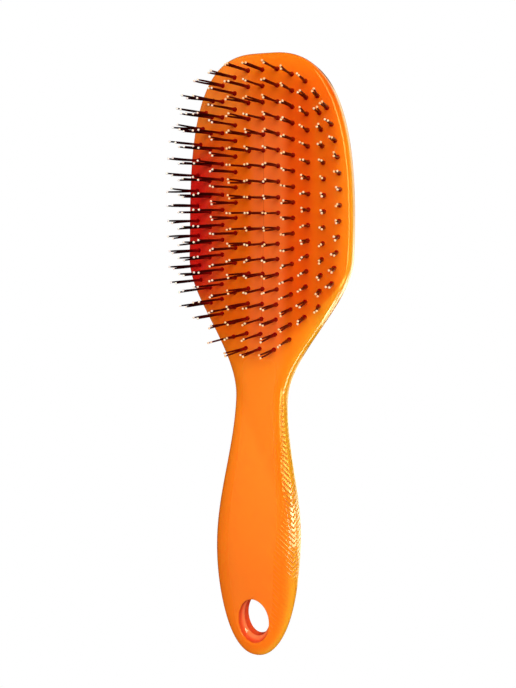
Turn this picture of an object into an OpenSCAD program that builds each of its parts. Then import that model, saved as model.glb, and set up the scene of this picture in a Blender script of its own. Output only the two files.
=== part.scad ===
// Detangling brush: a hollow two-piece body with a hang hole, and eleven
// columns of paired strands with round tips that stand out of its face.
// The brush lies on its back. X runs across it, +Y runs to the head end and
// the strands point to +Z.

/* [Body outline] */
// Length of the handle, from the hang end to the middle of the neck
handle_len = 104.5; // [90:0.5:125]
// Length of the head, from the middle of the neck to the head end
head_len = 130.5; // [115:0.5:150]
// Greatest width of the head
head_w = 68; // [60:0.5:80]
// Least width of the neck
neck_w = 21.4; // [17:0.2:26]
// Greatest width of the grip
grip_w = 35.2; // [28:0.4:42]

/* [Body thickness] */
// Height of the wall round the side of the head
head_side_h = 8; // [7:0.25:11]
// Radius of the face of the head, across its width
face_r = 150; // [120:5:190]
// Radius of the back of the head, across its width
back_r = 170; // [140:5:240]
// Thickness of the neck
neck_t = 10.75; // [9:0.25:14]
// Thickness of the grip
grip_t = 16.6; // [13:0.2:20]
// Thickness of the hang end at its hole
tail_t = 10; // [9:0.25:12]
// Thickness of the moulded walls
shell_wall = 2; // [1.6:0.1:2.2]
// Height of the neck's middle above the middle of the head
neck_rise = 3; // [1:0.25:4]
// Height of the head end's middle above the middle of the head
end_rise = 9; // [5:0.25:10]
// Height of the hang end's underside above the surface it lies on
tail_lift = 0.25; // [0.25:0.25:2]
// Depth of the flat ground on the back where the brush lies
rest_cut = 0.4; // [0.2:0.05:0.6]

/* [Hang hole] */
// Width of the hang hole
hole_w = 13; // [10:0.5:15]
// Length of the hang hole
hole_len = 18.5; // [14:0.5:19]
// Material between the hang hole and the hang end
hole_edge = 6; // [5:0.2:7]
// Solid material between the hang hole and the hollow of the handle
hole_bridge = 4; // [3:0.25:6]

/* [Strands] */
// Distance from the outermost columns to the widest sides of the head
side_margin = 4.7; // [4.1:0.2:5.9]
// Distance from the first row to the head end
end_margin = 6.7; // [6.1:0.2:8.9]
// Distance from the last row to the middle of the neck
neck_margin = 19.6; // [17:0.2:24]
// How far the outermost columns bend inwards at the head end
end_bow = 4.9; // [4:0.1:5.5]
// How far the outermost columns bend inwards at the neck
neck_bow = 2.1; // [1.5:0.1:3]
// Length of the longer strand of a pair, above the face
strand_len = 17.6; // [13:0.2:20]
// How far the tips stand towards the handle from their feet
strand_sweep = 2; // [0:0.1:2.5]
// Radius on which the strands fan out to both sides
fan_r = 92; // [80:2:120]
// Difference in length between the two strands of a pair
strand_step = 1.2; // [0.5:0.1:3]
// Width of a strand
strand_w = 0.7; // [0.5:0.05:0.75]
// Distance between the two strands of a pair, where they leave the face
strand_gap = 0.9; // [0.8:0.05:1]
// How far the tips of a pair stand apart, besides the gap at the face
strand_spread = 0.4; // [0.3:0.1:1]
// Width of the round tip of a strand
bead_w = 1; // [0.9:0.05:1.1]
// Diameter of the round foot that holds a pair of strands
foot_d = 1.9; // [1.7:0.1:2.1]
// Height of the foot above the face
foot_proud = 0.35; // [0.2:0.05:0.6]
// Thickness of the strip that carries a column, behind the face
strip_t = 1.6; // [1.2:0.1:2]
// Thickness of the ribs that hold the strips against the face
rib_t = 1.6; // [1.2:0.1:2.4]

/* [Clearances] */
// Gap between the foot and its hole in the face, all round
foot_clearance = 0.12; // [0.08:0.02:0.2]
// Gap between a strip and the walls near it
strip_clearance = 0.25; // [0.15:0.05:0.35]
// Gap between a strip and the ribs that hold it
rib_clearance = 0.3; // [0.2:0.05:0.4]
// Gap between two strips side by side
strip_gap = 0.4; // [0.3:0.1:0.8]
// Gap at the seam between the two shells
seam_gap = 0.1; // [0.05:0.05:0.2]

/* [Hidden] */

brush_len = handle_len + head_len;
head_half = head_w / 2;
neck_half = neck_w / 2;
grip_half = grip_w / 2;

// Places along the brush, measured from the middle of its length
end_y = brush_len / 2;
tail_y = -brush_len / 2;
neck_y = tail_y + handle_len;
head_wide_share = 0.426;
head_wide_y = neck_y + head_wide_share * head_len;
grip_wide_share = 0.457;
grip_wide_y = tail_y + grip_wide_share * handle_len;
hole_y = tail_y + hole_edge + hole_len / 2;
hollow_y = hole_y + hole_len / 2 + hole_bridge;
head_flat_share = 0.47;
head_flat_y = neck_y + head_flat_share * head_len;
neck_end_share = 0.2;
neck_end_y = neck_y + neck_end_share * head_len;
head_low_share = 0.45;
head_low_y = neck_y + head_low_share * head_len;

// Powers of the rounded outline, of the rounded edges and of the head's rise
end_power = 2.94;
tail_power = 2.17;
face_edge_power = 7;
back_edge_power = 3;
grip_edge_power = 2.1;
rise_power = 1.35;

// Heights of the middle of the brush, above the surface it lies on. The back
// touches it below the head and below the grip.
head_side_half = head_side_h / 2;
back_crown_h = head_half * head_half / (2 * back_r);
head_low_h = head_side_half + back_crown_h - rest_cut;
grip_mid_h = grip_t / 2 - rest_cut;
neck_mid_h = head_low_h + neck_rise;
tail_mid_h = tail_t / 2 + tail_lift;

// Share of the way from one place to another, eased at both ends
function ease(v) = let (u = max(0, min(1, v))) u * u * (3 - 2 * u);
function way(y, from_y, to_y) = (y - from_y) / (to_y - from_y);
function between(y, from_y, to_y, a, b) = a + (b - a) * ease(way(y, from_y, to_y));

// Round edge: 1 inside, falling to 0 at the rim
function edge(t, power) = pow(max(0, 1 - pow(min(1, abs(t)), power)), 1 / power);

// Half width of the brush at y, with the outline drawn in by inset
function half_width(y, inset) =
    y > head_wide_y
        ? (head_half - inset) * edge(way(y, head_wide_y, end_y - inset), end_power)
    : y > neck_y ? between(y, neck_y, head_wide_y, neck_half, head_half) - inset
    : y > grip_wide_y ? between(y, grip_wide_y, neck_y, grip_half, neck_half) - inset
    : (grip_half - inset) * edge(way(y, grip_wide_y, tail_y + inset), tail_power);

// 1 on the head, 0 on the handle
function headness(y) = ease(way(y, neck_end_y, head_flat_y));

// Height of the middle surface, where the two shells meet
function middle_h(y) =
    y > head_low_y ? head_low_h + end_rise * pow(way(y, head_low_y, end_y), rise_power)
    : y > neck_y ? between(y, neck_y, head_low_y, neck_mid_h, head_low_h)
    : y > grip_wide_y ? between(y, grip_wide_y, neck_y, grip_mid_h, neck_mid_h)
    : between(y, tail_y, grip_wide_y, tail_mid_h, grip_mid_h);

// Half thickness at the edge of the head, and of the handle
function side_half(y) =
    y > neck_y ? between(y, neck_end_y, head_flat_y, neck_t / 2, head_side_half)
    : y > grip_wide_y ? between(y, grip_wide_y, neck_y, grip_t / 2, neck_t / 2)
    : between(y, hole_y, grip_wide_y, tail_t / 2, grip_t / 2);

// Rounding of both ends, seen from the side
function end_edge(y, head_power) =
    edge(max(0, way(y, end_y - head_half, end_y)), head_power)
    * edge(max(0, way(y, hole_y, tail_y)), tail_power);

function side_power(y, head_power) =
    grip_edge_power * pow(head_power / grip_edge_power, headness(y));

// Thickness of the brush above or below its middle surface
function rise(x, y, crown_r, head_power) =
    let (crown = headness(y) * (head_half * head_half - x * x) / (2 * crown_r),
         t = x / max(half_width(y, 0), seam_gap))
    (side_half(y) + crown) * edge(t, side_power(y, head_power)) * end_edge(y, head_power);

function face_z(x, y) = middle_h(y) + rise(x, y, face_r, face_edge_power);
function back_z(x, y) = middle_h(y) - rise(x, y, back_r, back_edge_power);

// The outline runs down the right side in four stretches
end_steps = 16;
flank_steps = 14;
grip_steps = 12;
tail_steps = 14;
side_steps = end_steps + flank_steps + grip_steps + tail_steps;

function end_point(k, inset) =
    let (a = 90 - 90 * k / end_steps)
    [(head_half - inset) * pow(cos(a), 2 / end_power),
     head_wide_y + (end_y - inset - head_wide_y) * pow(sin(a), 2 / end_power)];
function flank_point(k, from_y, to_y, steps, inset) =
    let (y = from_y + (to_y - from_y) * k / steps)
    [half_width(y, inset), y];
function tail_point(k, inset, last_y) =
    let (a = 90 * k / tail_steps)
    [(grip_half - inset) * pow(cos(a), 2 / tail_power),
     grip_wide_y + (last_y - grip_wide_y) * pow(sin(a), 2 / tail_power)];

function side_point(k, inset, last_y) =
    k <= end_steps ? end_point(k, inset)
    : k <= end_steps + flank_steps
        ? flank_point(k - end_steps, head_wide_y, neck_y, flank_steps, inset)
    : k <= end_steps + flank_steps + grip_steps
        ? flank_point(k - end_steps - flank_steps, neck_y, grip_wide_y, grip_steps, inset)
    : tail_point(k - end_steps - flank_steps - grip_steps, inset, last_y);

// The whole outline: down the right side, then up the left one
function outline(inset, last_y) = concat(
    [for (k = [0 : side_steps]) side_point(k, inset, last_y)],
    [for (k = [side_steps - 1 : -1 : 1])
        let (p = side_point(k, inset, last_y)) [-p[0], p[1]]]);
ring_size = 2 * side_steps;

// A ring between the outline and the line that runs down its middle
end_room_share = 0.8;
tail_room_share = 0.5;
function ring(rim, t) =
    let (top_y = rim[0][1] - end_room_share * head_half,
         low_y = rim[side_steps][1] + tail_room_share * grip_half)
    [for (p = rim)
        let (mid_y = max(low_y, min(top_y, p[1]))) [t * p[0], mid_y + t * (p[1] - mid_y)]];

// Rings of the outside, from the middle to the rim, and of the hollow, from
// the rim to the middle
outer_shares = [0.15, 0.38, 0.6, 0.78, 0.88, 0.94, 0.975, 0.995];
inner_shares = [1, 0.94, 0.8, 0.5, 0.15];
outer_rim = outline(0, tail_y);
inner_rim = outline(shell_wall, hollow_y);

// side is 1 for the face and -1 for the back
function skin_z(p, side, depth) =
    side > 0 ? face_z(p[0], p[1]) - depth : back_z(p[0], p[1]) + depth;
function seam_z(y, side) = middle_h(y) + side * seam_gap / 2;
function shell_points(side) = concat(
    [for (t = outer_shares) for (p = ring(outer_rim, t)) [p[0], p[1], skin_z(p, side, 0)]],
    [for (p = outer_rim) [p[0], p[1], seam_z(p[1], side)]],
    [for (p = inner_rim) [p[0], p[1], seam_z(p[1], side)]],
    [for (t = inner_shares) for (p = ring(inner_rim, t))
        [p[0], p[1], skin_z(p, side, shell_wall)]]);

// The diagonals of the left side mirror those of the right side
ring_count = len(outer_shares) + 2 + len(inner_shares);
function turned(face, side) = side > 0 ? face : [face[0], face[2], face[1]];
function quad_faces(a, b, c, d, right) =
    right ? [[a, d, c], [a, c, b]] : [[a, d, b], [b, d, c]];
function band_faces(side) =
    [for (r = [0 : ring_count - 2]) for (i = [0 : ring_size - 1])
        let (a = r * ring_size + i, b = r * ring_size + (i + 1) % ring_size)
        for (face = quad_faces(a, b, b + ring_size, a + ring_size, i < side_steps))
            turned(face, side)];
function cap_faces(first, side) =
    [for (i = [0 : side_steps - 1]) for (half = [0, 1])
        let (a = first + i, b = a + 1,
             c = first + ring_size - i - 1, d = first + (ring_size - i) % ring_size)
        if (half == 0 ? b != c : a != d)
            turned(half == 0 ? [a, b, c] : [a, c, d], side)];

module shell(side) {
    polyhedron(
        points = shell_points(side),
        faces = concat(
            cap_faces(0, side),
            band_faces(side),
            cap_faces((ring_count - 1) * ring_size, -side)));
}

// Columns are numbered from the left, and a place counts them from the middle
column_count = 11;
outer_place = (column_count - 1) / 2;
function place(column) = column - 1 - outer_place;
column_pitch = (head_half - side_margin) / outer_place;
row_counts = [19, 19, 18, 16, 14, 12];
first_row_shares = [0, 0, 0.02, 0.045, 0.095, 0.135];
last_row_shares = [1, 1, 0.96, 0.875, 0.835, 0.75];
field_top_y = end_y - end_margin;
field_len = field_top_y - neck_y - neck_margin;
function first_y(place) = field_top_y - first_row_shares[abs(place)] * field_len;
function last_y(place) = field_top_y - last_row_shares[abs(place)] * field_len;
function row_y(place, row) =
    first_y(place) + (last_y(place) - first_y(place)) * row / (row_counts[abs(place)] - 1);
bow_power = 3;
function column_x(place, y) =
    let (middle = (first_y(place) + last_y(place)) / 2,
         off = way(y, middle, first_y(place)),
         bow = off > 0 ? end_bow : neck_bow)
    place * column_pitch - sign(place) * bow * pow(abs(place) / outer_place, bow_power) * off * off;
outer_lean_share = 0.7;
function lean(place, x) =
    asin(x / fan_r) * (abs(place) == outer_place ? outer_lean_share : 1);
sweep_angle = asin(strand_sweep / strand_len);

// Everything of one pair stands on its own foot
module at_foot(place, row) {
    y = row_y(place, row);
    x = column_x(place, y);
    translate([x, y, face_z(x, y)])
        rotate([sweep_angle, 0, 0])
            rotate([0, lean(place, x), 0])
                children();
}

strip_depth = shell_wall + strip_clearance;
foot_depth = strip_depth + strip_t / 2;
foot_sides = 24;
module foot() {
    translate([0, 0, -foot_depth])
        cylinder(h = foot_depth + foot_proud, d = foot_d, $fn = foot_sides);
}

cut_over = shell_wall / 2;
module foot_hole() {
    translate([0, 0, -foot_depth - cut_over])
        cylinder(
            h = foot_depth + foot_proud + 2 * cut_over,
            d = foot_d + 2 * foot_clearance,
            $fn = foot_sides);
}

hole_step = 7.5;
module hang_hole() {
    translate([0, hole_y, -cut_over])
        linear_extrude(height = grip_t + tail_lift + 2 * cut_over)
            polygon([for (a = [0 : hole_step : 360 - hole_step])
                [hole_w / 2 * cos(a), hole_len / 2 * sin(a)]]);
}

// The two strands of a pair stand side by side across the brush. They lean
// apart as they rise, and the one nearer the brush's side is longer.
function strand_side(index) = index == 0 ? -1 : 1;
function strand_top(place, index) =
    [strand_side(index) * (strand_gap + strand_spread) / 2, 0,
     strand_len - (1 - strand_side(index) * sign(place)) / 2 * strand_step];
function corners(middle, d, sides) =
    [for (k = [0 : sides - 1]) let (a = -360 * k / sides)
        [middle[0] + d / 2 * cos(a), middle[1] + d / 2 * sin(a), middle[2]]];
strand_sides = 3;
bead_sides = 5;

// A strand and its seat share their corners
strand_faces = [
    [0, 2, 1], [3, 4, 5],
    [0, 1, 4], [0, 4, 3], [1, 2, 5], [1, 5, 4], [2, 0, 3], [2, 3, 5]];
module strand(place, index) {
    low = [strand_side(index) * strand_gap / 2, 0, -foot_proud];
    top = strand_top(place, index);
    polyhedron(
        points = concat(corners(low, strand_w, strand_sides), corners(top, strand_w, strand_sides)),
        faces = strand_faces);
}

bead_faces = [
    [0, 2, 1],
    [0, 4, 3], [0, 1, 4], [1, 5, 4], [1, 2, 5], [2, 6, 5], [2, 7, 6], [2, 0, 7], [0, 3, 7],
    [3, 4, 8], [4, 5, 8], [5, 6, 8], [6, 7, 8], [7, 3, 8]];
module bead(place, index) {
    seat = strand_top(place, index);
    polyhedron(
        points = concat(
            corners(seat, strand_w, strand_sides),
            corners(seat + [0, 0, bead_w / 2], bead_w, bead_sides),
            [seat + [0, 0, bead_w]]),
        faces = bead_faces);
}

// The strip runs under the face from the first foot to the last
strip_steps = 12;
strip_end = foot_d;
function strip_side(place, y) =
    let (limit = half_width(y, shell_wall) - 2 * strip_clearance,
         next_x = place < outer_place ? column_x(place + 1, y) : column_x(place, y) + column_pitch)
    min(limit, (column_x(place, y) + next_x - strip_gap) / 2);
function strip_section(place, y) =
    let (inner_x = place == 0 ? -strip_side(0, y) : strip_side(place - 1, y) + strip_gap)
    [for (edge_x = [inner_x, strip_side(place, y)])
        for (depth = [strip_depth, strip_depth + strip_t])
            [edge_x, y, face_z(edge_x, y) - depth]];

// The upper and lower sides of the strip are cut along the same diagonals
module right_strip(place) {
    top_y = first_y(place) + strip_end;
    low_y = last_y(place) - strip_end;
    points = [for (k = [0 : strip_steps])
        each strip_section(place, top_y + (low_y - top_y) * k / strip_steps)];
    sides = [for (k = [0 : strip_steps - 1]) let (a = 4 * k)
        each [
            [a, a + 2, a + 6], [a, a + 6, a + 4],
            [a + 2, a + 3, a + 7], [a + 2, a + 7, a + 6],
            [a + 3, a + 1, a + 7], [a + 1, a + 5, a + 7],
            [a + 1, a, a + 4], [a + 1, a + 4, a + 5]]];
    last = 4 * strip_steps;
    polyhedron(
        points = points,
        faces = concat(
            [[0, 1, 3], [0, 3, 2]],
            sides,
            [[last, last + 2, last + 3], [last, last + 3, last + 1]]));
}

module strip(place) {
    mirror([place < 0 ? 1 : 0, 0, 0])
        right_strip(abs(place));
}

module front_shell() {
    color("darkorange")
        difference() {
            shell(1);
            for (place = [-outer_place : outer_place])
                for (row = [0 : row_counts[abs(place)] - 1])
                    at_foot(place, row)
                        foot_hole();
            hang_hole();
        }
}

// Ribs of the back shell reach up to the strips and keep them in place
rib_shares = [0.14, 0.42, 0.7];
rib_steps = 12;
module rib(y) {
    reach = half_width(y, shell_wall) - shell_wall;
    xs = [for (k = [-rib_steps : rib_steps]) reach * k / rib_steps];
    top = [for (x = xs) [x, face_z(x, y) - strip_depth - strip_t - rib_clearance]];
    low = [for (k = [2 * rib_steps : -1 : 0]) [xs[k], back_z(xs[k], y) + shell_wall / 2]];
    translate([0, y + rib_t / 2, 0])
        rotate([90, 0, 0])
            linear_extrude(height = rib_t)
                polygon(concat(top, low));
}

module back_shell() {
    color("orange")
        difference() {
            union() {
                shell(-1);
                for (share = rib_shares)
                    rib(field_top_y - share * field_len);
            }
            hang_hole();
            translate([-head_w, -brush_len, -2 * grip_t])
                cube([2 * head_w, 2 * brush_len, 2 * grip_t]);
        }
}

module bristle_column(place) {
    union() {
        color("maroon")
            strip(place);
        for (row = [0 : row_counts[abs(place)] - 1])
            at_foot(place, row) {
                color("maroon")
                    foot();
                color("black")
                    for (index = [0, 1])
                        strand(place, index);
            }
    }
}

module bristle_tips(place) {
    color("cornsilk")
        for (row = [0 : row_counts[abs(place)] - 1])
            at_foot(place, row)
                for (index = [0, 1])
                    bead(place, index);
}

function column_name(stem, column) = str(stem, column < 10 ? "0" : "", column);

front_shell();
back_shell();
for (column = [1 : column_count]) {
    bristle_column(place(column));
    bristle_tips(place(column));
}
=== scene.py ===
import math
import random

import bmesh
import bpy
import numpy as np
from mathutils import Matrix, Vector


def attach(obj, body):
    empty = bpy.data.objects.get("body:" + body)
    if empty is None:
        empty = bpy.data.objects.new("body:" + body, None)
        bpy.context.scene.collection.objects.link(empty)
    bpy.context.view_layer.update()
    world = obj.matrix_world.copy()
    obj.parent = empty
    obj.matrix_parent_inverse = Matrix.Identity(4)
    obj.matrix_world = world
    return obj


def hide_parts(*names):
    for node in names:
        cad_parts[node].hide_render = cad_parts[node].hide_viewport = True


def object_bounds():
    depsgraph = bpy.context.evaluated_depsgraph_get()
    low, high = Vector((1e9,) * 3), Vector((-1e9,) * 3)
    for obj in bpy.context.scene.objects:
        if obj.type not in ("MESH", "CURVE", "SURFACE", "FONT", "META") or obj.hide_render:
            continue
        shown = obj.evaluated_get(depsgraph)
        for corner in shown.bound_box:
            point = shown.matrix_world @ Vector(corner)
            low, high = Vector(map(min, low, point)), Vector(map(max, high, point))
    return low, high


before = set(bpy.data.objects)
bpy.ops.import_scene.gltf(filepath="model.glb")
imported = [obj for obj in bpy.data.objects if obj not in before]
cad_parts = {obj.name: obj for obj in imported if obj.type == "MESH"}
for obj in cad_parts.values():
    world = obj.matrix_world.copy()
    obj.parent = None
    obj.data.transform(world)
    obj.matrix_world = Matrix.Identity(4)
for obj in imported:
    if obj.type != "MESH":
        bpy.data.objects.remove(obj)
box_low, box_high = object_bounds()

# A detangling brush that lies on its back. X runs across it, +Y to its head end
# and its strands point to +Z. Its sizes are in mm, as in the CAD part. The lamps
# and the floor are in metres.
MM = 0.001
TINY = 1e-6
scene = bpy.context.scene
scene.view_settings.view_transform = "Standard"

# Camera
# It looks at a point AIM_H above the floor, which lies OFF_RIGHT and OFF_DOWN
# pixels from the middle of the picture. PX_PER_MM is the scale at that point.
TURN, TILT, ROLL = math.radians(21.03), math.radians(3.60), math.radians(-2.18)
DISTANCE, AIM_H, SENSOR = 361.64, 8, 36
PHOTO_H, PX_PER_MM, OFF_RIGHT, OFF_DOWN = 688, 2.538, 7.06, 21.15


def make_camera():
    back = Vector((math.sin(TURN) * math.cos(TILT), math.sin(TILT), math.cos(TURN) * math.cos(TILT)))
    right = Vector((math.cos(TURN), 0, -math.sin(TURN)))
    up = back.cross(right)
    across = right * math.cos(ROLL) - up * math.sin(ROLL)
    above = right * math.sin(ROLL) + up * math.cos(ROLL)
    data = bpy.data.cameras.new("camera")
    cam = bpy.data.objects.new("camera", data)
    scene.collection.objects.link(cam)
    where = Vector((0, 0, AIM_H)) * MM + back * DISTANCE * MM
    cam.matrix_world = Matrix((
        (across.x, above.x, back.x, where.x),
        (across.y, above.y, back.y, where.y),
        (across.z, above.z, back.z, where.z),
        (0, 0, 0, 1)))
    data.sensor_width = SENSOR
    data.lens = PX_PER_MM * DISTANCE / PHOTO_H * SENSOR
    data.shift_x = -OFF_RIGHT / PHOTO_H
    data.shift_y = OFF_DOWN / PHOTO_H
    data.clip_start, data.clip_end = 0.01, 10
    data.dof.use_dof = False
    scene.camera = cam


make_camera()

# Shape
# The outline and the heights are those of the CAD part.
HANDLE, HEAD, HEAD_W, NECK_W, GRIP_W = 104.5, 130.5, 68.0, 21.4, 35.2
SIDE_H, FACE_R, BACK_R, NECK_T, GRIP_T, TAIL_T = 8.0, 150.0, 170.0, 10.75, 16.6, 10.0
NECK_RISE, END_RISE, TAIL_LIFT, REST_CUT, WALL = 3.0, 9.0, 0.25, 0.4, 2.0
HOLE_W, HOLE_LEN, HOLE_EDGE, HOLE_STEP = 13.0, 18.5, 6.0, 1
# Places along the head as shares of its length, and the grip's along the handle
NECK_END_SHARE, WIDE_SHARE, LOW_SHARE, FLAT_SHARE, GRIP_SHARE = 0.2, 0.426, 0.45, 0.47, 0.457
END_Y = (HANDLE + HEAD) / 2
TAIL_Y = -END_Y
NECK_Y = TAIL_Y + HANDLE
NECK_END_Y = NECK_Y + NECK_END_SHARE * HEAD
WIDE_Y = NECK_Y + WIDE_SHARE * HEAD
LOW_Y = NECK_Y + LOW_SHARE * HEAD
FLAT_Y = NECK_Y + FLAT_SHARE * HEAD
GRIP_Y = TAIL_Y + GRIP_SHARE * HANDLE
HOLE_Y = TAIL_Y + HOLE_EDGE + HOLE_LEN / 2
HALF = HEAD_W / 2
# How square the outline's ends and the cross-sections are: 2 is an ellipse
END_POWER, TAIL_POWER, FACE_POWER, BACK_POWER, GRIP_POWER = 2.94, 2.17, 7.0, 3.0, 2.1
RISE_POWER = 1.35
LOW_H = SIDE_H / 2 + HALF * HALF / (2 * BACK_R) - REST_CUT
GRIP_H = GRIP_T / 2 - REST_CUT
NECK_H = LOW_H + NECK_RISE
TAIL_H = TAIL_T / 2 + TAIL_LIFT
# The hang hole in the front shell (1) and in the back shell (-1), which is
# smaller by a step: its middle y, half width and half length
HOLES = {
    1: (HOLE_Y, HOLE_W / 2, HOLE_LEN / 2),
    -1: (HOLE_Y + HOLE_STEP, HOLE_W / 2 - HOLE_STEP, HOLE_LEN / 2 - HOLE_STEP)}


def ease(v):
    v = np.clip(v, 0, 1)
    return v * v * (3 - 2 * v)


def way(y, a, b):
    """How far y has gone on its way from a to b."""
    return (y - a) / (b - a)


def between(y, a, b, p, q):
    """p at a and q at b, eased."""
    return p + (q - p) * ease(way(y, a, b))


def edge(t, power):
    """1 in the middle and 0 at t = 1, round or square by its power."""
    return np.maximum(0, 1 - np.minimum(1, np.abs(t)) ** power) ** (1 / power)


def half_width(y):
    y = np.asarray(y, float)
    return np.where(
        y > WIDE_Y, HALF * edge(way(y, WIDE_Y, END_Y), END_POWER),
        np.where(y > NECK_Y, between(y, NECK_Y, WIDE_Y, NECK_W / 2, HALF),
                 np.where(y > GRIP_Y, between(y, GRIP_Y, NECK_Y, GRIP_W / 2, NECK_W / 2),
                          GRIP_W / 2 * edge(way(y, GRIP_Y, TAIL_Y), TAIL_POWER))))


def share_out(x, y):
    """x as a share of the half width there."""
    return x / np.maximum(half_width(y), 0.1)


def headness(y):
    """0 on the handle and 1 on the head."""
    return ease(way(y, NECK_END_Y, FLAT_Y))


def middle_h(y):
    """Height of the seam."""
    y = np.asarray(y, float)
    return np.where(
        y > LOW_Y, LOW_H + END_RISE * np.maximum(0, way(y, LOW_Y, END_Y)) ** RISE_POWER,
        np.where(y > NECK_Y, between(y, NECK_Y, LOW_Y, NECK_H, LOW_H),
                 np.where(y > GRIP_Y, between(y, GRIP_Y, NECK_Y, GRIP_H, NECK_H),
                          between(y, TAIL_Y, GRIP_Y, TAIL_H, GRIP_H))))


def side_half(y):
    """Half the thickness, before the crown is added."""
    return np.where(
        y > NECK_Y, between(y, NECK_END_Y, FLAT_Y, NECK_T / 2, SIDE_H / 2),
        np.where(y > GRIP_Y, between(y, GRIP_Y, NECK_Y, GRIP_T / 2, NECK_T / 2),
                 between(y, HOLE_Y, GRIP_Y, TAIL_T / 2, GRIP_T / 2)))


def side_power(y, power):
    return GRIP_POWER * (power / GRIP_POWER) ** headness(y)


def rise(x, y, crown_r, power):
    """Height of a face above or below the seam."""
    crown = headness(y) * (HALF * HALF - x * x) / (2 * crown_r)
    ends = edge(np.maximum(0, way(y, END_Y - HALF, END_Y)), power)
    ends = ends * edge(np.maximum(0, way(y, HOLE_Y, TAIL_Y)), TAIL_POWER)
    return (side_half(y) + crown) * edge(share_out(x, y), side_power(y, power)) * ends


def face_z(x, y):
    return middle_h(y) + rise(x, y, FACE_R, FACE_POWER)


def back_z(x, y):
    return middle_h(y) - rise(x, y, BACK_R, BACK_POWER)


# Meshes
# In metres: points nearer than WELD become one, and edges shorter than SLIVER go
WELD, SLIVER = 2e-6, 1e-7


def weld(mesh):
    work = bmesh.new()
    work.from_mesh(mesh)
    bmesh.ops.remove_doubles(work, verts=work.verts, dist=WELD)
    bmesh.ops.dissolve_degenerate(work, edges=work.edges, dist=SLIVER)
    work.to_mesh(mesh)
    work.free()


def make_mesh(name, points, faces, material, attributes, wrap=None):
    """A smooth mesh. attributes and wrap hold one entry per point."""
    mesh = bpy.data.meshes.new(name)
    mesh.from_pydata((np.asarray(points) * MM).tolist(), [], [list(map(int, f)) for f in faces])
    for key, values in attributes.items():
        layer = mesh.attributes.new(key, "FLOAT", "POINT")
        layer.data.foreach_set("value", np.asarray(values, np.float32))
    if wrap is not None:
        corner = np.zeros(len(mesh.loops), np.int32)
        mesh.loops.foreach_get("vertex_index", corner)
        layer = mesh.uv_layers.new(name="wrap")
        layer.data.foreach_set("uv", np.asarray(wrap, np.float32)[corner].ravel())
    obj = bpy.data.objects.new(name, mesh)
    scene.collection.objects.link(obj)
    mesh.materials.append(material)
    if wrap is not None:
        weld(mesh)
    mesh.shade_smooth()
    return obj


# Outline of the shells: points from the head end down the right side to the
# tail, and back up the left side
END_STEPS, FLANK_STEPS, GRIP_STEPS, TAIL_STEPS = 56, 66, 44, 60
SIDE_STEPS = END_STEPS + FLANK_STEPS + GRIP_STEPS + TAIL_STEPS
RING = 2 * SIDE_STEPS


def round_end(angles, width, start_y, end_y, power):
    a = np.radians(angles)
    return np.stack([width * np.cos(a) ** (2 / power),
                     start_y + (end_y - start_y) * np.sin(a) ** (2 / power)], 1)


def right_outline():
    end = round_end(np.linspace(90, 0, END_STEPS + 1), HALF, WIDE_Y, END_Y, END_POWER)
    flank = np.linspace(WIDE_Y, NECK_Y, FLANK_STEPS + 1)[1:]
    flank = np.stack([half_width(flank), flank], 1)
    grip = np.linspace(NECK_Y, GRIP_Y, GRIP_STEPS + 1)[1:]
    grip = np.stack([half_width(grip), grip], 1)
    tail = round_end(np.linspace(0, 90, TAIL_STEPS + 1)[1:], GRIP_W / 2, GRIP_Y, TAIL_Y, TAIL_POWER)
    out = np.concatenate([end, flank, grip, tail])
    out[0, 0] = out[-1, 0] = 0
    return out


def both_sides(right):
    """Adds the left side, from the tail back up to the head end."""
    left = right[-2:0:-1] * np.array([-1, 1])
    return np.concatenate([right, left])


# Each point of the outline has a partner on the line down the middle, or on the
# rim of the hang hole. The middle line starts at FAN_Y, and the hole's rim takes
# over below TURN_Y.
FAN_SHARE, TURN_ABOVE = 0.8, 4
HOLE_TOP_Y = HOLE_Y + HOLE_LEN / 2
FAN_Y = END_Y - FAN_SHARE * HALF
TURN_Y = HOLE_TOP_Y + TURN_ABOVE
rim_right = right_outline()
rim = both_sides(rim_right)
first_low = int(np.argmax(rim_right[:, 1] < TURN_Y))
lengths = np.concatenate([[0], np.cumsum(np.linalg.norm(np.diff(rim_right, axis=0), axis=1))])
round_share = np.clip((lengths - lengths[first_low]) / (lengths[-1] - lengths[first_low]), 0, 1)
round_angle = math.pi / 2 - math.pi * round_share
# The points whose partners go round the hang hole
HOLE_LOOP = np.arange(first_low, RING - first_low)


def core_points(side):
    """The partners of the outline's points, for one shell."""
    hole_y, hole_half, hole_long = HOLES[side]
    low = np.arange(SIDE_STEPS + 1) > first_low
    spine = (HOLE_TOP_Y + (np.minimum(rim_right[:, 1], FAN_Y) - rim_right[first_low, 1])
             * (FAN_Y - HOLE_TOP_Y) / (FAN_Y - rim_right[first_low, 1]))
    right = np.stack([np.where(low, hole_half * np.cos(round_angle), 0),
                      np.where(low, hole_y + hole_long * np.sin(round_angle), spine)], 1)
    right[-1, 0] = 0
    return both_sides(right)


CORES = {side: core_points(side) for side in HOLES}

# Shells
# Rings of points lie at these shares of the way from the middle to the rim, and
# more of them where the faces bend down to the seam
INNER_SHARES = [0, 0.006, 0.016, 0.03, 0.05, 0.075, 0.105, 0.14, 0.19,
                0.25, 0.32, 0.39, 0.46, 0.53, 0.6, 0.66, 0.71, 0.755]
EDGE_START, EDGE_RINGS = 0.8, 30
RIM_FILLET = 0.5
# Half the groove at the seam, its depth, and half the gap behind it
SEAM_HALF, SEAM_DEEP, LAND_HALF = 0.11, 0.35, 0.02
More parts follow.
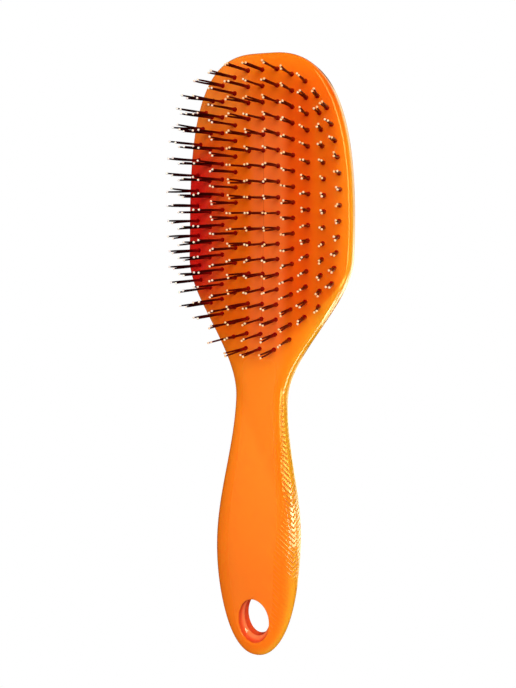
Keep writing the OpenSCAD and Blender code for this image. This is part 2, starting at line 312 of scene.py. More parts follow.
# The wall of the hang hole: rings from a face to the seam, and how much of the way
# to the smaller hole each has made
BORE_DEPTHS = np.array([0, 0.2, 0.4, 0.55, 0.65, 0.75, 0.85, 0.93, 0.985, 1.0])
BORE_STEPS = 0.2 * BORE_DEPTHS + 0.8 * ease((BORE_DEPTHS - 0.45) / 0.55)
# Share of the painted highlight on each ring of the wall, towards the step at the smaller hole
LIP_LIGHT = ease((BORE_DEPTHS - 0.5) / 0.3)
# A place round the skin that no knurl reaches
BORE_WRAP = 12.0


def hole_drop(x, y, side):
    """How far a face is rounded down into the hang hole."""
    hole_y, hole_half, hole_long = HOLES[side]
    u, v = x / hole_half, (y - hole_y) / hole_long
    e = np.sqrt(u * u + v * v)
    slope = np.sqrt((u / hole_half) ** 2 + (v / hole_long) ** 2) / np.maximum(e, TINY)
    d = np.clip((e - 1) / np.maximum(slope, TINY), 0, RIM_FILLET)
    return RIM_FILLET - np.sqrt(np.maximum(0, RIM_FILLET ** 2 - (RIM_FILLET - d) ** 2))


def skin(side):
    """Points of one shell from the middle to the rim, ring by ring."""
    core = CORES[side]
    power = side_power(rim[:, 1], FACE_POWER if side > 0 else BACK_POWER)
    start = np.arcsin(EDGE_START ** (power / 2))
    shares = [np.full(RING, t) for t in INNER_SHARES]
    for k in range(EDGE_RINGS + 1):
        a = start + (math.pi / 2 - start) * k / EDGE_RINGS
        shares.append(np.sin(a) ** (2 / power))
    rings = []
    for t in shares:
        p = core + t[:, None] * (rim - core)
        x, y = p.T
        if side > 0:
            z = np.maximum(face_z(x, y) - hole_drop(x, y, side), middle_h(y) + SEAM_HALF)
        else:
            z = np.maximum(back_z(x, y) + hole_drop(x, y, side), 0)
            z = np.minimum(z, middle_h(y) - SEAM_HALF)
        rings.append(np.column_stack([p, z]))
    return rings


def seam_ring(side, inward):
    """The rim moved inwards, at the seam."""
    inwards = CORES[1] - rim
    inwards = inwards / np.maximum(np.linalg.norm(inwards, axis=1), TINY)[:, None]
    p = rim + inwards * inward
    return np.column_stack([p, middle_h(p[:, 1]) + side * LAND_HALF])


def bore_rings(top, side):
    """The wall of the hang hole, and the land behind it at the seam."""
    seam = middle_h(top[:, 1]) + side * LAND_HALF
    end = CORES[-1][HOLE_LOOP]
    out = end - np.array([0, HOLES[-1][0]])
    out = out / np.linalg.norm(out, axis=1)[:, None]
    rings = []
    for depth, inward in zip(BORE_DEPTHS, BORE_STEPS):
        rings.append(np.column_stack([top[:, :2] + inward * (end - top[:, :2]),
                                      top[:, 2] + depth * (seam - top[:, 2])]))
    rings.append(np.column_stack([end + out * WALL, seam]))
    return rings


def girth(rings):
    """How far the points of each ring lie from the rim, along the skin."""
    step = np.stack([np.linalg.norm(outer - inner, axis=1) for inner, outer in zip(rings, rings[1:])])
    return np.concatenate([np.cumsum(step[::-1], 0)[::-1], np.zeros((1, RING))])


def ring_faces(first, rows, count):
    """Faces between rings of count points each, all the way round."""
    index = first + np.arange(rows * count).reshape(rows, count)
    beside = np.roll(index, -1, axis=1)
    return np.stack([index[:-1], index[1:], beside[1:], beside[:-1]], -1).reshape(-1, 4)


# Knurl of the grip
# Where it starts, as a share of the half width, at places up the right side and
# anywhere on the left side. From FULL_SHARE on it is at its full depth.
START_Y = [-100, -72, -62, -50, -30, -8]
START_SHARE = [0.46, 0.48, 0.6, 0.72, 0.79, 0.83]
LEFT_START = 0.9
FULL_Y, FULL_SHARE = [-70, -44], [0.82, 0.7]
KNURL_SOFT, SHALLOW = 0.08, 0.3


def rising(v, start, over):
    """0 up to start, and 1 once v is over further."""
    return ease((v - start) / over)


def knurl_depth(x, y):
    """0 to 1: on the handle's sides, from the neck to the hang hole."""
    r = share_out(np.abs(x), y)
    start = np.where(x < 0, LEFT_START, np.interp(y, START_Y, START_SHARE))
    full = rising(r, np.interp(y, FULL_Y, FULL_SHARE), KNURL_SOFT) * rising(y, -86, 10)
    deep = SHALLOW + (1 - SHALLOW) * full
    # It stops short of the seam at the hang hole, and is faint there on the upper grip
    low_rim = 1 - rising(r, 0.84, 0.06) * (1 - rising(y, -88, 8))
    high_rim = 1 - 0.8 * rising(r, 0.9, 0.06) * rising(y, -52, 10)
    ends = rising(y, -109, 8) * rising(-y, 6, 12)
    return deep * low_rim * high_rim * rising(r, start, KNURL_SOFT) * ends


def make_shell(name, side, material):
    rings = skin(side)
    wrap = [girth(rings).ravel()]
    bore = bore_rings(rings[0][HOLE_LOOP], side)
    for inward in (SEAM_DEEP, WALL):
        rings.append(seam_ring(side, inward))
        wrap.append(np.full(RING, -inward))
    skin_count, bore_count = len(rings) * RING, len(bore) * len(HOLE_LOOP)
    wrap.append(np.full(bore_count, BORE_WRAP))
    faces = np.concatenate([ring_faces(0, len(rings), RING),
                            ring_faces(skin_count, len(bore), len(HOLE_LOOP))[:, ::-1]])
    points = np.concatenate(rings + bore)
    x, y, z = points.T
    in_bore = np.repeat([0, 1], [skin_count, bore_count])
    lip = np.zeros(len(points))
    flank = np.ones(len(points))
    # Only the front shows the hole's lip, with its painted highlight, and where its face ends and its
    # wall begins
    if side > 0:
        lip[skin_count:] = np.repeat([*LIP_LIGHT, 0], len(HOLE_LOOP))
        flank = 1 - np.clip((z - middle_h(y)) / np.maximum(side_half(y), 1), 0, 1)
    obj = make_mesh(
        name, points, faces if side > 0 else faces[:, ::-1], material,
        {"knurl": knurl_depth(x, y) * (1 - in_bore), "bore": in_bore, "lip": lip, "flank": flank},
        np.column_stack([np.concatenate(wrap) * side, y]))
    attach(obj, "root")
    return obj


# Materials
class Wire:
    """An output socket of a node, with arithmetic."""

    def __init__(self, tree, socket):
        self.tree, self.socket = tree, socket

    def output(self, key):
        """Another output of the same node."""
        return Wire(self.tree, self.socket.node.outputs[key])

    def math(self, operation, *others):
        return add_node(self.tree, "ShaderNodeMath", {"operation": operation},
                        dict(enumerate((self, *others))))

    def __add__(self, other):
        return self.math("ADD", other)

    def __radd__(self, other):
        return self + other

    def __mul__(self, other):
        return self.math("MULTIPLY", other)

    def __rmul__(self, other):
        return self * other

    def __sub__(self, other):
        return self.math("SUBTRACT", other)

    def __rsub__(self, other):
        return self * -1.0 + other

    def __truediv__(self, other):
        return self.math("DIVIDE", other)

    def __pow__(self, other):
        return self.math("POWER", other)

    def __abs__(self):
        return self.math("ABSOLUTE")

    def fraction(self):
        return self.math("FRACT")

    def least(self, other):
        return self.math("MINIMUM", other)

    def most(self, other):
        return self.math("MAXIMUM", other)

    def ramp(self, low, high):
        """0 at low and 1 at high, eased."""
        return add_node(self.tree, "ShaderNodeMapRange",
                        {"interpolation_type": "SMOOTHSTEP", "clamp": True},
                        {"Value": self, "From Min": low, "From Max": high})

    def fall(self, low, high):
        """1 at low and 0 at high, eased."""
        return 1.0 - self.ramp(low, high)

    def band(self, low, high, soft):
        """1 between low and high, falling off over soft."""
        return self.ramp(low - soft, low) * self.fall(high, high + soft)


def add_node(tree, kind, settings, inputs, out=0):
    """Adds a node. Its inputs are keyed by name or place, and out is the output it gives."""
    node = tree.nodes.new(kind)
    for key, value in settings.items():
        setattr(node, key, value)
    for key, value in inputs.items():
        if isinstance(value, Wire):
            tree.links.new(value.socket, node.inputs[key])
        else:
            node.inputs[key].default_value = value
    return Wire(tree, node.outputs[out]) if node.outputs else None


def srgb(r, g, b):
    """A colour as seen, 0 to 255, as linear RGBA."""
    v = [c / 255 for c in (r, g, b)]
    return (*[c / 12.92 if c <= 0.04045 else ((c + 0.055) / 1.055) ** 2.4 for c in v], 1.0)


def mix(tree, factor, a, b):
    """From colour a to colour b."""
    return add_node(tree, "ShaderNodeMix", {"data_type": "RGBA"}, {0: factor, 6: a, 7: b}, 2)


def mix_shader(tree, factor, a, b):
    return add_node(tree, "ShaderNodeMixShader", {}, {0: factor, 1: a, 2: b})


def new_tree(owner):
    """An empty node tree for a material or a world."""
    owner.use_nodes = True
    owner.node_tree.nodes.clear()
    return owner.node_tree


def attribute(tree, name):
    return add_node(tree, "ShaderNodeAttribute", {"attribute_name": name}, {}, 2)


def object_place(tree):
    """Places on the object, in metres."""
    return add_node(tree, "ShaderNodeTexCoord", {}, {}, "Object")


def noise(tree, scale, detail):
    return add_node(tree, "ShaderNodeTexNoise", {},
                    {"Vector": object_place(tree), "Scale": scale, "Detail": detail})


def split(tree, vector):
    """The first two parts of a vector."""
    first = add_node(tree, "ShaderNodeSeparateXYZ", {}, {0: vector})
    return first, first.output(1)


def place(tree):
    """x and y in mm."""
    x, y = split(tree, object_place(tree))
    return x * 1000.0, y * 1000.0


# Colours of the orange plastic: the bare plastic, its shade down the handle, painted light
# on the wall that faces the side, painted shade in the hang hole, a painted highlight on its lip and
# painted shade in the knurl's grooves
ORANGE, BURNT_ORANGE, LIT_WALL_AMBER = srgb(250, 127, 17), srgb(234, 103, 3), srgb(236, 160, 34)
BORE_SHADE_RED, LIP_LIGHT_PINK, GROOVE_SHADE_BROWN = srgb(240, 84, 40), srgb(255, 160, 96), srgb(200, 84, 2)
# Linear colours of the head: painted shade among the strands, where the backing and the feet also show
# through the face, painted shade at the sides, painted light, a painted sheen and a darker line
FIELD_SHADE_RED, LEFT_SHADE_RED = (0.82, 0.112, 0.002, 1), (0.70, 0.004, 0.005, 1)
STRAND_SHADE_PLUM, RIGHT_SHADE_RED = (0.70, 0.04, 0.032, 1), (0.82, 0.04, 0.001, 1)
PAINTED_LIGHT_ORANGE, SHEEN_ORANGE = (1.0, 0.27, 0.03, 1), (0.98, 0.17, 0.035, 1)
LINE_BROWN = (0.42, 0.05, 0.008, 1)
# Painted glow, standing for light that comes through the plastic, at the hang hole and the head's left
# edge
NO_GLOW, BORE_GLOW, EDGE_GLOW = (0, 0, 0, 1), (0.09, 0.008, 0.006, 1), (0.17, 0.05, 0.006, 1)
# The knurl's ridges meet MEET in from the seam. They are PITCH apart at EVEN_Y,
# and by CROWD closer below it and wider above it, up to CROWD_TOP_Y.
MEET, PITCH, RELIEF = 3.7, 2.05, 0.22 * MM
EVEN_Y, CROWD, CROWD_TOP_Y = -63.0, 0.003, -36.0


def lit_head_corner(x, y):
    """The lower left corner of the head, where painted light and a painted glow are laid."""
    return (x + (y - 28.0) * 0.51).fall(-32.0, -26.0) * y.fall(22.0, 30.0)


def head_light_and_shade(x, y, cloud):
    """Where the head has another colour than the handle, in the order of laying: painted shade among
    the strands, partly the backing seen through, and at the sides, painted light at the top and the
    lower left corner, a painted sheen and a darker middle line.
    """
    # Painted shade among the strands of the field, where the backing and the feet also show through
    edge_x = x + (30.0 - y).most(0.0) * 0.9
    field = y.ramp(-3.0, 17.0) * y.fall(103.0, 121.0) * edge_x.fall(25.0, 32.0)
    # Painted shade at the field's left edge
    left = x.fall(-29.0, -11.0) * y.band(35.0, 76.0, 16.0)
    # Painted shade near the strands on the left
    strand_shade = x.band(-25.0, -17.0, 4.0) * y.band(32.0, 76.0, 14.0)
    # Painted shade on the right of the field
    right = x.band(10.0, 17.0, 4.0) * y.band(30.0, 97.0, 14.0)
    # Painted light at the head's top left and at its lower left corner
    painted_light = x.fall(-16.0, 2.0) * y.ramp(84.0, 100.0) * 0.6 + lit_head_corner(x, y) * y.ramp(4.0, 12.0) * 0.8
    sheen = x.band(-3.0, 7.0, 4.0) * y.ramp(-2.0, 12.0) * y.fall(85.0, 105.0)
    line = x.band(-0.06, 0.06, 0.16) * y.band(20.0, 80.0, 16.0)
    return (
        (field * (0.75 + 0.25 * cloud), FIELD_SHADE_RED),
        (left * 0.95, LEFT_SHADE_RED),
        (strand_shade * 0.15, STRAND_SHADE_PLUM),
        (right * 0.42, RIGHT_SHADE_RED),
        (painted_light, PAINTED_LIGHT_ORANGE),
        (sheen * 0.5, SHEEN_ORANGE),
        (line * 0.35, LINE_BROWN))


def lit_wall_mask(x, y, flank):
    """The wall that faces the right side, where light through the plastic is painted in amber. It
    starts higher up on the head.
    """
    on_head = y.ramp(10.0, 40.0)
    wall = flank.ramp(0.25, 0.7) * (1.0 - on_head) + flank.ramp(0.17, 0.28) * on_head
    return wall * x.ramp(-4.0, 6.0)


def knurl_ridges(tree):
    """Herringbone: slanting ridges that meet above the seam. 1 on a ridge and 0 between."""
    around, along = split(tree, add_node(tree, "ShaderNodeUVMap", {"uv_map": "wrap"}, {}))
    crowd = (along.least(CROWD_TOP_Y) - EVEN_Y) ** 2.0 * CROWD
    # They meet a little nearer the seam on the upper grip
    phase = (along - crowd - abs(around - MEET + along.ramp(-56.0, -38.0))) / PITCH
    return abs(phase.fraction() * 2.0 - 1.0).ramp(0.1, 0.55)


def make_plastic():
    material = bpy.data.materials.new("orange_plastic")
    tree = new_tree(material)
    x, y = place(tree)
    knurl, flank, bore, lip = (attribute(tree, name) for name in ("knurl", "flank", "bore", "lip"))
    ridges = knurl_ridges(tree)
    # The knurl's grooves: painted darker as shade in them, and rougher
    groove = (1.0 - ridges) * knurl
    relief = add_node(tree, "ShaderNodeBump", {},
                      {"Strength": 1.0, "Distance": RELIEF, "Height": ridges * knurl})
    colour = ORANGE
    # Laid in order: a shade down the handle, the head's painted shade and light, painted light on the
    # right side wall, painted shade in the hang hole, a painted highlight on its lip and painted shade
    # in the knurl's grooves
    for share, tint in (
            (y.fall(-100.0, 0.0) * 0.75, BURNT_ORANGE),
            *head_light_and_shade(x, y, noise(tree, 40.0, 2.0)),
            (lit_wall_mask(x, y, flank) * (1.0 - bore) * 0.9, LIT_WALL_AMBER),
            (bore * 0.8, BORE_SHADE_RED),
            (lip * 0.5, LIP_LIGHT_PINK),
            (groove * 0.5, GROOVE_SHADE_BROWN)):
        colour = mix(tree, share, colour, tint)
    # The top of the handle is satin, where it is not knurled
    satin = flank.fall(0.02, 0.32) * (1.0 - bore) * y.fall(-10.0, 15.0) * knurl.fall(0.0, 0.55)
    # Painted glow at the head's upper left edge and lower left corner, and in the hang hole
    glow_edge = x.fall(-31.0, -20.0) * y.ramp(70.0, 92.0) + lit_head_corner(x, y) * 0.7
    glow = mix(tree, bore, mix(tree, glow_edge, NO_GLOW, EDGE_GLOW), BORE_GLOW)
    shader = add_node(tree, "ShaderNodeBsdfPrincipled", {}, {
        "Base Color": colour, "Roughness": 0.06 + groove * 0.6 + satin * 0.44, "Normal": relief,
        "IOR": 1.49, "Specular IOR Level": 0.5,
        "Subsurface Weight": 0.35, "Subsurface Radius": (1.0, 0.4, 0.05), "Subsurface Scale": 0.005,
        "Emission Color": glow, "Emission Strength": 1.0,
        "Coat Weight": 0.3 * (1.0 - groove) * (1.0 - satin), "Coat Roughness": 0.04})
    add_node(tree, "ShaderNodeOutputMaterial", {}, {"Surface": shader})
    return material


def make_nylon():
    """Strands that are maroon at the foot and darker further up, black on the left. Up the strands,
    the maroon over the orange head and the black against the white floor are painted light and shade
    from what is behind them.
    """
    material = bpy.data.materials.new("maroon_black_nylon")
    tree = new_tree(material)
    up = attribute(tree, "up")
    far = mix(tree, attribute(tree, "white_behind"), srgb(92, 0, 2), srgb(30, 1, 4))
    shader = add_node(tree, "ShaderNodeBsdfPrincipled", {}, {
        "Base Color": mix(tree, up.ramp(0.0, 0.55), srgb(160, 0, 4), far),
        "Roughness": 0.34 + 0.1 * up, "IOR": 1.5, "Specular IOR Level": 0.05})
    add_node(tree, "ShaderNodeOutputMaterial", {}, {"Surface": shader})
    return material


def make_tip():
    """Cream tips, lighter and darker from place to place, and paler on the left, where light from the
    white floor behind them is painted in.
    """
    material = bpy.data.materials.new("cream_ball_tip")
    tree = new_tree(material)
    tone = noise(tree, 260.0, 0.0).ramp(0.4, 0.6)
    colour = mix(tree, tone, srgb(255, 214, 170), srgb(255, 196, 138))
    shader = add_node(tree, "ShaderNodeBsdfPrincipled", {}, {
        "Base Color": mix(tree, attribute(tree, "white_behind"), colour, srgb(255, 241, 229)),
        "Roughness": 0.25, "IOR": 1.5,
        "Subsurface Weight": 0.2, "Subsurface Radius": (1.0, 0.6, 0.3), "Subsurface Scale": 0.0005})
    add_node(tree, "ShaderNodeOutputMaterial", {}, {"Surface": shader})
    return material


PLASTIC, NYLON, TIP = make_plastic(), make_nylon(), make_tip()

front = make_shell("front_body", 1, PLASTIC)
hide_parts("front_shell")
back = make_shell("back_body", -1, PLASTIC)
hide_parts("back_shell")

# Strands
# Columns are counted from the middle one, 0, to OUTER on the right and -OUTER on
# the left.
COLUMNS, OUTER, OUTER_LEAN = 11, 5, 0.7
# Sizes of the columns and the strands, as in the CAD part
SIDE_MARGIN, END_MARGIN, NECK_MARGIN, END_BOW, NECK_BOW = 4.7, 6.7, 19.6, 4.9, 2.1
STRAND, STEP, GAP, SPREAD, BEAD, FAN_R, SWEEP = 17.6, 1.2, 0.9, 0.4, 1.0, 92.0, 2.0
# Rows of each column from the middle outwards, and where its first and last row
# lie, from 0 at the head end to 1 at the neck
ROWS = [19, 19, 18, 16, 14, 12]
FIRST = [0, 0, 0.02, 0.045, 0.095, 0.135]
LAST = [1, 1, 0.96, 0.875, 0.835, 0.75]
TOP_Y = END_Y - END_MARGIN
FIELD = TOP_Y - NECK_Y - NECK_MARGIN
SWEEP_ANGLE = math.asin(SWEEP / STRAND)
COLUMN_PITCH = (HALF - SIDE_MARGIN) / OUTER
# A backing strip: its room under the face's wall, thickness, room to the next
# strip and to the side wall, and its length beyond its first and last foot
STRIP_DEPTH, STRIP_T, STRIP_GAP, STRIP_SIDE, STRIP_END = 0.25, 1.6, 0.4, 0.5, 1.9
STRIP_STEPS = 24
# Height above the face and radius, up a foot
FOOT_PROFILE = [(-2.6, 0.8), (-0.4, 0.88), (0.02, 0.9), (0.2, 0.87), (0.36, 0.79),
                (0.5, 0.64), (0.58, 0.4)]
FOOT_SIDES = 14
STRAND_RADII = [0.47, 0.43, 0.4, 0.385, 0.375, 0.36, 0.35, 0.32, 0.27]
STRAND_STEPS = len(STRAND_RADII) - 1
STRAND_SIDES = 8
# How far a strand starts above the face, and its share of the gap there
START_H, START_GAP = 0.1, 0.9
# The pairs of the columns left of FAR_LEFT turn less and stray more than the
# others, and differ more in length
FAR_LEFT = -2
FAR_TWIST, FAR_STRAY, FAR_SPREAD, FAR_STEP = (-0.7, 0.7), 0.3, 1, STEP
NEAR_TWIST, NEAR_STRAY, NEAR_SPREAD, NEAR_STEP = (-1.5, 0.9), 0.12, 0.85, STEP / 3
SWAY, STEP_RANGE = 0.3, (0.7, 1.3)
# The bead's radius, how deep it sits on the strand and its room to the CAD box
BEAD_R, BEAD_SINK, BEAD_ROOM = 0.5 * BEAD - 0.06, 0.12, 0.03
BEAD_SIDES, BEAD_STEPS, BEAD_LOW, BEAD_HIGH = 12, 7, -1.35, 1.5
BEADS_LOW = np.array(box_low) / MM + BEAD_R + BEAD_ROOM
BEADS_HIGH = np.array(box_high) / MM - BEAD_R - BEAD_ROOM


def first_y(p):
    return TOP_Y - FIRST[abs(p)] * FIELD


def last_y(p):
    return TOP_Y - LAST[abs(p)] * FIELD


def column_x(p, y):
    """x of a column at y. The columns bend inwards at both ends, the outer ones most."""
    off = way(y, (first_y(p) + last_y(p)) / 2, first_y(p))
    bow = END_BOW if off > 0 else NECK_BOW
    sign = (p > 0) - (p < 0)
    return p * COLUMN_PITCH - sign * bow * (abs(p) / OUTER) ** 3 * off * off


def surface_z(x, y):
    return float(face_z(np.array(x), np.array(y)))


def foot_frame(p, row):
    """Where a foot stands on the face, and its three directions."""
    y = first_y(p) + (last_y(p) - first_y(p)) * row / (ROWS[abs(p)] - 1)
    x = column_x(p, y)
    root = np.array([x, y, surface_z(x, y)])
    a = SWEEP_ANGLE
    b = math.asin(x / FAN_R) * (OUTER_LEAN if abs(p) == OUTER else 1)
    axes = np.array([
        [math.cos(b), 0, math.sin(b)],
        [math.sin(a) * math.sin(b), math.cos(a), -math.sin(a) * math.cos(b)],
        [-math.cos(a) * math.sin(b), math.sin(a), math.cos(a) * math.cos(b)]])
    return root, axes


def tube(path, radii, sides):
    """A closed tube round a path: its points and faces."""
    path = np.asarray(path, float)
    tangent = np.gradient(path, axis=0)
    tangent /= np.linalg.norm(tangent, axis=1)[:, None]
    points, faces = [], []
    for c, t, r in zip(path, tangent, radii):
        u = np.cross((0.0, 1.0, 0.0), t)
        u /= np.linalg.norm(u)
        v = np.cross(t, u)
        for m in range(sides):
            w = 2 * math.pi * m / sides
            points.append(c + r * (math.cos(w) * u + math.sin(w) * v))
    last = (len(path) - 1) * sides
    for first in range(0, last, sides):
        for m in range(sides):
            a, b = first + m, first + (m + 1) % sides
            faces.append([a, b, b + sides, a + sides])
    faces.append(list(range(sides - 1, -1, -1)))
    faces.append(list(range(last, last + sides)))
    return np.array(points), faces


def bead(centre, axis):
    """The round tip on a strand's end, with a small flat at each end."""
    angles = [math.pi * (k / BEAD_STEPS) - math.pi / 2 for k in range(BEAD_STEPS + 1)]
    angles = [max(BEAD_LOW, min(BEAD_HIGH, a)) for a in angles]
    path = [centre + axis * BEAD_R * math.sin(a) for a in angles]
    return tube(path, [BEAD_R * math.cos(a) for a in angles], BEAD_SIDES)


def strip_side(p, y):
    """Where a strip ends towards the side."""
    limit = float(half_width(y)) - WALL - STRIP_SIDE
    beside = column_x(p + 1, y) if p < OUTER else column_x(p, y) + COLUMN_PITCH
    return min(limit, (column_x(p, y) + beside - STRIP_GAP) / 2)


def strip(p):
    """The backing strip behind the face that carries a column."""
    points, faces = [], []
    q = abs(p)
    top, low = first_y(q) + STRIP_END, last_y(q) - STRIP_END
    for k in range(STRIP_STEPS + 1):
        y = top + (low - top) * k / STRIP_STEPS
        right = strip_side(q, y)
        left = -right if q == 0 else strip_side(q - 1, y) + STRIP_GAP
        for x in (left, right):
            for deep in (WALL + STRIP_DEPTH, WALL + STRIP_DEPTH + STRIP_T):
                points.append([x if p >= 0 else -x, y, surface_z(x, y) - deep])
    last = 4 * STRIP_STEPS
    for a in range(0, last, 4):
        for m, n in ((0, 2), (2, 3), (3, 1), (1, 0)):
            faces.append([a + m, a + n, a + 4 + n, a + 4 + m])
    faces += [[0, 1, 3, 2], [last, last + 2, last + 3, last + 1]]
    if p < 0:
        faces = [f[::-1] for f in faces]
    return np.array(points), faces


def strand_line(rng, p, sign, twist, root, axes):
    """Points up the left (-1) or right (1) strand of a pair, from its foot to its end."""
    far = p < FAR_LEFT
    step = FAR_STEP if far else NEAR_STEP
    stray = FAR_STRAY if far else NEAR_STRAY
    reach = sign * (GAP + SPREAD) / 2 * (FAR_SPREAD if far else NEAR_SPREAD)
    high = STRAND - (1 - sign * np.sign(p)) / 2 * step * rng.uniform(*STEP_RANGE)
    top = np.array([reach * math.cos(twist) + rng.uniform(-stray, stray),
                    reach * math.sin(twist) + rng.uniform(-stray, stray), high])
    low = np.array([sign * GAP / 2 * START_GAP, 0, START_H])
    sway = np.array([rng.uniform(-SWAY, SWAY), rng.uniform(-SWAY, SWAY), 0])
    shares = [k / STRAND_STEPS for k in range(STRAND_STEPS + 1)]
    return [root + axes @ (low + (top - low) * s + sway * 2 * s * (1 - s)) for s in shares]


class Heap:
    """Gathers the parts of one mesh. up goes from 0 at the feet to 1 at the tips."""

    def __init__(self):
        self.points, self.faces, self.up, self.count = [], [], [], 0

    def add(self, part, up):
        points, faces = part
        self.points.append(points)
        self.faces += [[i + self.count for i in f] for f in faces]
        self.up.append(np.broadcast_to(np.asarray(up, float), (len(points),)))
        self.count += len(points)


def add_strand(line, bristle, tips):
    """A strand with its bead, which is kept inside the CAD box."""
    axis = (line[-1] - line[-2]) / np.linalg.norm(line[-1] - line[-2])
    centre = line[-1] + axis * (BEAD_R - BEAD_SINK)
    shift = np.clip(centre, BEADS_LOW, BEADS_HIGH) - centre
    line = [q + shift * (k / STRAND_STEPS) ** 2 for k, q in enumerate(line)]
    ups = np.repeat(np.linspace(0.05, 1, len(line)), STRAND_SIDES)
    bristle.add(tube(line, STRAND_RADII, STRAND_SIDES), ups)
    tips.add(bead(centre + shift, axis), 1)


def make_column(number):
    p = number - 1 - OUTER
    rng = random.Random(100 + number)
    bristle, tips = Heap(), Heap()
    bristle.add(strip(p), 0)
    for row in range(ROWS[abs(p)]):
        root, axes = foot_frame(p, row)
        foot = [root + axes[:, 2] * height for height, radius in FOOT_PROFILE]
        bristle.add(tube(foot, [radius for height, radius in FOOT_PROFILE], FOOT_SIDES), 0)
        twist = rng.uniform(*(FAR_TWIST if p < FAR_LEFT else NEAR_TWIST))
        for sign in (-1, 1):
            add_strand(strand_line(rng, p, sign, twist, root, axes), bristle, tips)
    # From the second column left of the middle on, strands are blacker and tips paler: painted light
    # and shade for the white floor behind them in place of the orange head
    white_behind = min(1, max(0, (-p - 1) / 3))
    for heap, name, material, node, slot in (
            (bristle, "bristles", NYLON, "bristle_column", "strand"),
            (tips, "ball_tips", TIP, "bristle_tips", "tip")):
        obj = make_mesh(f"{name}_{number:02d}", np.concatenate(heap.points), heap.faces, material,
                        {"up": np.concatenate(heap.up), "white_behind": np.full(heap.count, white_behind)})
        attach(obj, "root")
        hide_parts(f"{node}_{number:02d}")


for number in range(1, COLUMNS + 1):
    make_column(number)

for name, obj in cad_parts.items():
    obj.data.materials.clear()
    obj.data.materials.append(PLASTIC if "shell" in name else TIP if "tips" in name else NYLON)

# Stage
# The floor is white to the camera. To the gloss alone its material shows a dark floor
# with a painted glowing strip along the brush's right side and two painted bright cards.
WHITE, WARM, CREAM = (1, 1, 1), (1, 0.88, 0.22), (1, 0.94, 0.6)
FLOOR_GREY, FLOOR_HALF, FLOOR_Z = (0.8, 0.8, 0.8, 1), 3.0, -0.0002
HANDLE_GLEAM, HEAD_GLEAM = (2.8, 2.5, 1.7, 1), (1.4, 1.1, 0.75, 1)
GRIP_GLEAM, TURN_GLEAM = (6.5, 5.8, 3.9, 1), (9.0, 8.6, 6.6, 1)
DARK_GLEAM = (0.02, 0.015, 0.005, 1)


def floor_gleam(tree):
    """The glow painted into the floor for the gloss alone, which the plastic mirrors as highlights."""
    x, y = place(tree)
    half = 13.0 + y.ramp(-5.0, 45.0) * 22.0 + y.band(-90.0, -55.0, 20.0) * 5.0
    reach = 6.0 + y.ramp(20.0, 36.0) * 6.0 + y.band(-14.0, -4.0, 3.0) * 16.0
    glow_strip = (x - half - reach).fall(-2.0, 2.0) * (x - half).ramp(-14.0, -10.0)
    glow_strip = glow_strip * (y.ramp(-92.0, -84.0) * y.fall(-2.0, 6.0) + y.ramp(22.0, 34.0))
    turn_card = x.band(36.0, 68.0, 3.0) * y.band(4.0, 28.0, 4.0)
    grip_card = x.band(22.0, 42.0, 3.0) * y.band(-76.0, -54.0, 6.0)
    gleam = mix(tree, y.ramp(36.0, 62.0), HANDLE_GLEAM, HEAD_GLEAM)
    gleam = mix(tree, glow_strip, DARK_GLEAM, gleam)
    gleam = mix(tree, grip_card, gleam, GRIP_GLEAM)
    return mix(tree, turn_card, gleam, TURN_GLEAM)


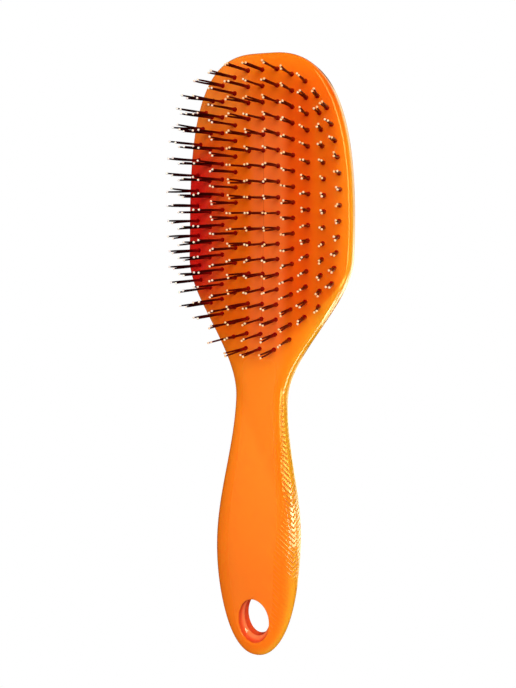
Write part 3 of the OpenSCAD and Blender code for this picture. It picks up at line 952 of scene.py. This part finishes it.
def make_floor():
    material = bpy.data.materials.new("floor_white")
    tree = new_tree(material)
    camera = add_node(tree, "ShaderNodeLightPath", {}, {}, "Is Camera Ray")
    matte = add_node(tree, "ShaderNodeBsdfDiffuse", {}, {"Color": FLOOR_GREY})
    white = add_node(tree, "ShaderNodeEmission", {}, {"Color": (*WHITE, 1), "Strength": 1.0})
    gleam = add_node(tree, "ShaderNodeEmission", {}, {"Color": floor_gleam(tree), "Strength": 1.0})
    other = mix_shader(tree, camera.output("Is Glossy Ray"), matte, gleam)
    add_node(tree, "ShaderNodeOutputMaterial", {}, {"Surface": mix_shader(tree, camera, other, white)})
    mesh = bpy.data.meshes.new("floor")
    corners = [(-1, -1), (1, -1), (1, 1), (-1, 1)]
    corners = [(x * FLOOR_HALF, y * FLOOR_HALF, FLOOR_Z) for x, y in corners]
    mesh.from_pydata(corners, [], [(0, 1, 2, 3)])
    mesh.materials.append(material)
    floor = bpy.data.objects.new("floor", mesh)
    scene.collection.objects.link(floor)


def make_world():
    world = bpy.data.worlds.new("studio")
    scene.world = world
    tree = new_tree(world)
    camera = add_node(tree, "ShaderNodeLightPath", {}, {}, "Is Camera Ray")
    soft, dim, white = (
        add_node(tree, "ShaderNodeBackground", {}, {"Color": (*WHITE, 1), "Strength": strength})
        for strength in (0.3, 0.03, 1.0))
    other = mix_shader(tree, camera.output("Is Glossy Ray"), soft, dim)
    add_node(tree, "ShaderNodeOutputWorld", {}, {"Surface": mix_shader(tree, camera, other, white)})


def area_light(name, where, towards, size, power, colour):
    data = bpy.data.lights.new(name, "AREA")
    data.shape = "RECTANGLE"
    data.size, data.size_y = size
    data.energy, data.color = power, colour
    light = bpy.data.objects.new(name, data)
    scene.collection.objects.link(light)
    light.location = where
    light.visible_camera = False
    light.rotation_mode = "QUATERNION"
    light.rotation_quaternion = (Vector(where) - Vector(towards)).to_track_quat("Z", "Y")
    return light


make_floor()
make_world()
key = area_light("key_softbox", (0.30, 0.15, 0.85), (0, 0, 0), (0.5, 0.5), 8.5, WHITE)
key.visible_glossy = False
# These show in the gloss alone: name, place, aim, size, power and colour
for card in (
        ("head_strip", (0.41, 0.22, 0.53), (0, 0.06, 0.0), (0.5, 0.08), 1.1, WARM),
        ("neck_panel", (0.152, -0.066, 0.056), (0.012, -0.003, 0.01), (0.042, 0.034), 0.05, CREAM),
        ("turn_card", (0.074, -0.016, 0.018), (0.0775, 0.024, 0.016), (0.026, 0.034), 0.028, CREAM),
        ("rope_panel", (0.2, -0.04, 0.13), (0.012, -0.03, 0.01), (0.04, 0.085), 0.1, WARM),
        ("grip_card", (0.08, -0.074, 0.022), (0.031, -0.108, 0.012), (0.042, 0.044), 0.06, CREAM)):
    area_light(*card).visible_diffuse = False
